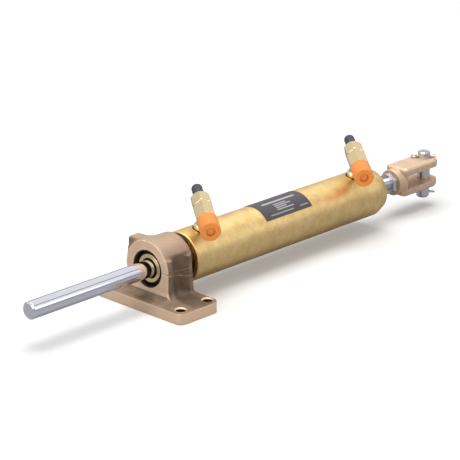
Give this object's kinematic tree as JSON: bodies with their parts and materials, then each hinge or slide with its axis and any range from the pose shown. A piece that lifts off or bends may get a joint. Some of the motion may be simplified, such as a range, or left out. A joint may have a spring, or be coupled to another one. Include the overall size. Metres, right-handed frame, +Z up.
{
  "type": "hydraulic steering cylinder",
  "caption": "Double-ended hydraulic steering cylinder: brass tube on a ball-mounted bronze foot, sliding rod with a pinned fork, and hose fittings with bleed nipples.",
  "frame": {"origin": "middle of the foot's underside, at the centre of its four bolt holes", "axes": "+X along the cylinder from the foot to the fork, +Z up from the foot's underside, -Y the side that the hose ends of the fittings face"},
  "size_m": [0.5414, 0.109, 0.0893],
  "materials": {
    "bronze": "sand-cast bronze, blasted",
    "tube_brass": "satin drawn brass",
    "turned_brass": "turned brass",
    "fitting_brass": "bright machined brass",
    "chrome_rod": "hard chromed, ground",
    "steel": "stainless steel, turned",
    "black_steel": "blackened steel",
    "black_plastic": "black acetal",
    "seal_rubber": "nitrile rubber",
    "cap_rubber": "soft black rubber",
    "orange_plastic": "orange polyethylene",
    "label_film": "dark grey printed film"
  },
  "bodies": {
    "foot": {"foot_base": "bronze", "foot_cap": "bronze", "cap_screws": "black_steel"},
    "seat": {"upper_ball_seat": "black_plastic", "lower_ball_seat": "black_plastic"},
    "ball": {"pivot_ball": "turned_brass"},
    "cylinder": {"front_gland": "turned_brass", "gland_circlip": "steel", "rear_gland": "tube_brass", "tube": "tube_brass", "label": "label_film", "front_wiper": "seal_rubber", "rear_wiper": "seal_rubber", "front_rod_seal": "seal_rubber", "rear_rod_seal": "seal_rubber", "front_gland_ring": "seal_rubber", "rear_gland_ring": "seal_rubber", "front_fitting_body": "fitting_brass", "front_port_washer": "seal_rubber", "front_bleed_nut": "fitting_brass", "front_bleed_nipple": "fitting_brass", "front_bleed_cap": "cap_rubber", "front_hose_cap": "orange_plastic", "rear_fitting_body": "fitting_brass", "rear_port_washer": "seal_rubber", "rear_bleed_nut": "fitting_brass", "rear_bleed_nipple": "fitting_brass", "rear_bleed_cap": "cap_rubber", "rear_hose_cap": "orange_plastic"},
    "piston_rings": {"front_guide_ring": "black_plastic", "rear_guide_ring": "black_plastic", "piston_seal": "seal_rubber"},
    "rod": {"rod": "chrome_rod", "piston": "turned_brass", "piston_circlips": "steel", "lock_nut": "steel", "fork": "bronze"},
    "pin": {"clevis_pin": "steel", "upper_split_pin": "steel", "lower_split_pin": "steel"}
  },
  "joints": [
    {"name": "foot_yaw", "type": "hinge", "parent": "foot", "child": "seat", "pos_m": [0.0048, 0, 0.0356], "axis": [0, 0, 1], "range_deg": [-8, 8]},
    {"name": "foot_pitch", "type": "hinge", "parent": "seat", "child": "ball", "pos_m": [0.0048, 0, 0.0356], "axis": [0, 1, 0], "range_deg": [-6.5, 6.5]},
    {"name": "cylinder_roll", "type": "hinge", "parent": "ball", "child": "cylinder", "pos_m": [0.0048, 0, 0.0356], "axis": [1, 0, 0], "range_deg": [-40, 40]},
    {"name": "rod_slide", "type": "slide", "parent": "cylinder", "child": "piston_rings", "axis": [1, 0, 0], "range_m": [-0.015, 0.135]},
    {"name": "rod_turn", "type": "hinge", "parent": "piston_rings", "child": "rod", "pos_m": [0, 0, 0.0356], "axis": [1, 0, 0], "continuous": true},
    {"name": "pin_turn", "type": "hinge", "parent": "rod", "child": "pin", "pos_m": [0.376, 0, 0.0356], "axis": [0, 0, 1], "continuous": true}
  ]
}
